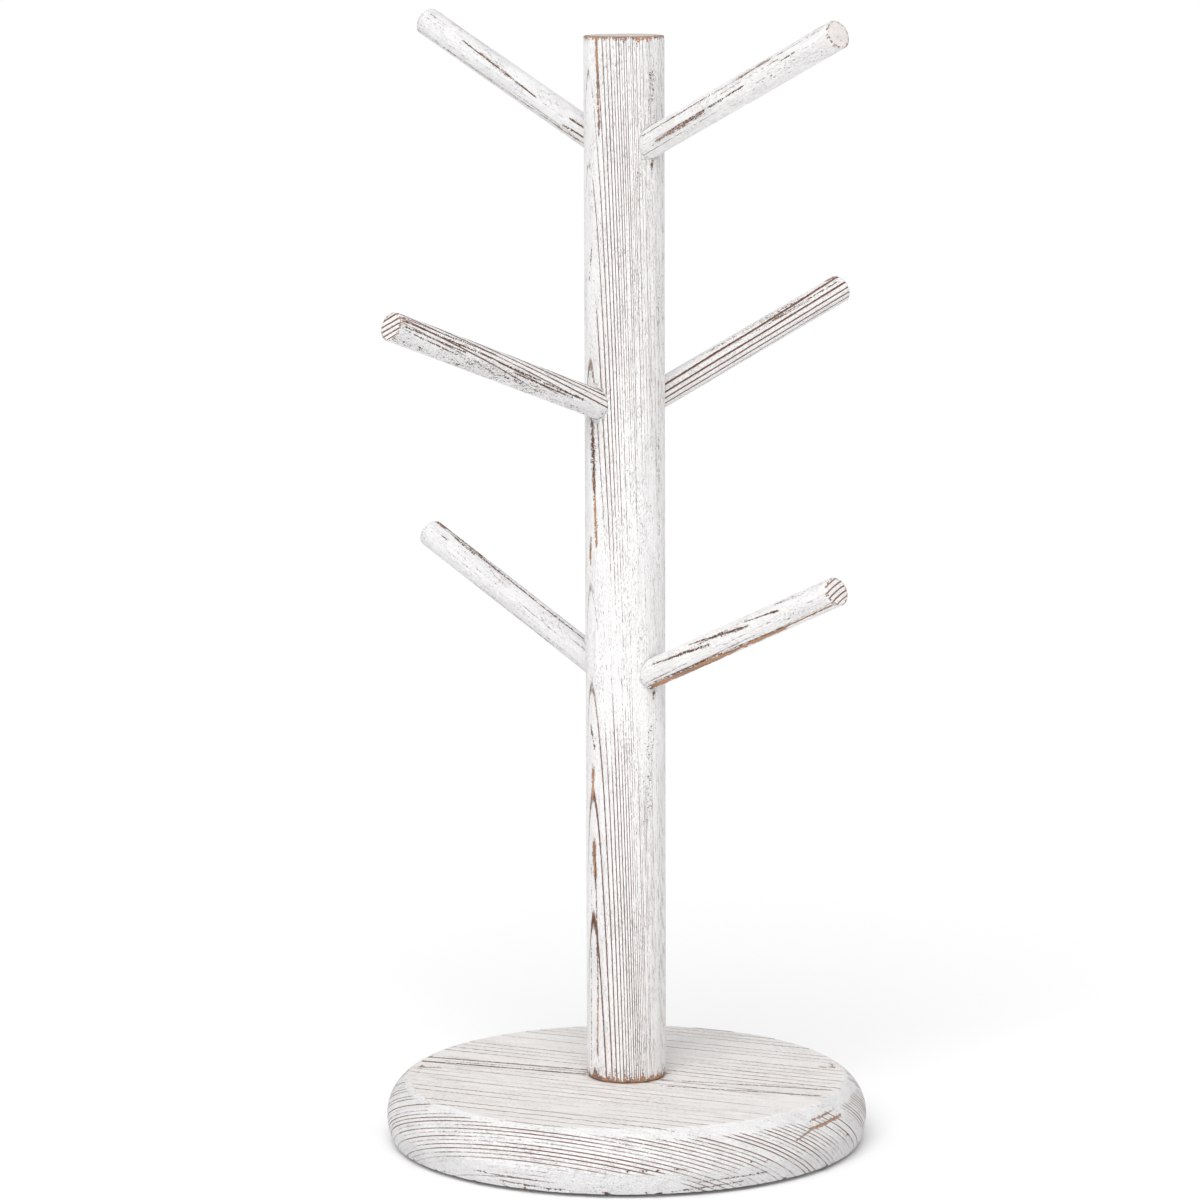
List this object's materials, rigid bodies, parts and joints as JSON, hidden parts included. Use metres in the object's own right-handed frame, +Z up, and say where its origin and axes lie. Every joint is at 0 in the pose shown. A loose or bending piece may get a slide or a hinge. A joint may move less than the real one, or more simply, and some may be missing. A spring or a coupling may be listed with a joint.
{
  "type": "mug tree",
  "caption": "Free-standing wooden mug tree: a round post on a round base, with tiers of opposed upward-sloping pegs for hanging mugs by their handles.",
  "frame": {"origin": "on the table, under the middle of the round base, level with the lower faces of the anti-slip pads", "axes": "+Z up along the post; the top and bottom pegs point 45 degrees front-right (+X -Y) and back-left, the middle pegs front-left (-X -Y) and back-right"},
  "size_m": [0.17, 0.17, 0.3971],
  "materials": {
    "whitewashed_wood": "wire-brushed pine with a worn matt whitewash",
    "screw_steel": "zinc plated",
    "pad_rubber": "matt"
  },
  "bodies": {
    "root": {"base": "whitewashed_wood", "pad_back_left": "pad_rubber", "pad_back_right": "pad_rubber", "pad_front_left": "pad_rubber", "pad_front_right": "pad_rubber", "peg_bottom_left": "whitewashed_wood", "peg_bottom_right": "whitewashed_wood", "peg_middle_left": "whitewashed_wood", "peg_middle_right": "whitewashed_wood", "peg_top_left": "whitewashed_wood", "peg_top_right": "whitewashed_wood", "post": "whitewashed_wood", "post_screw": "screw_steel"}
  },
  "joints": []
}
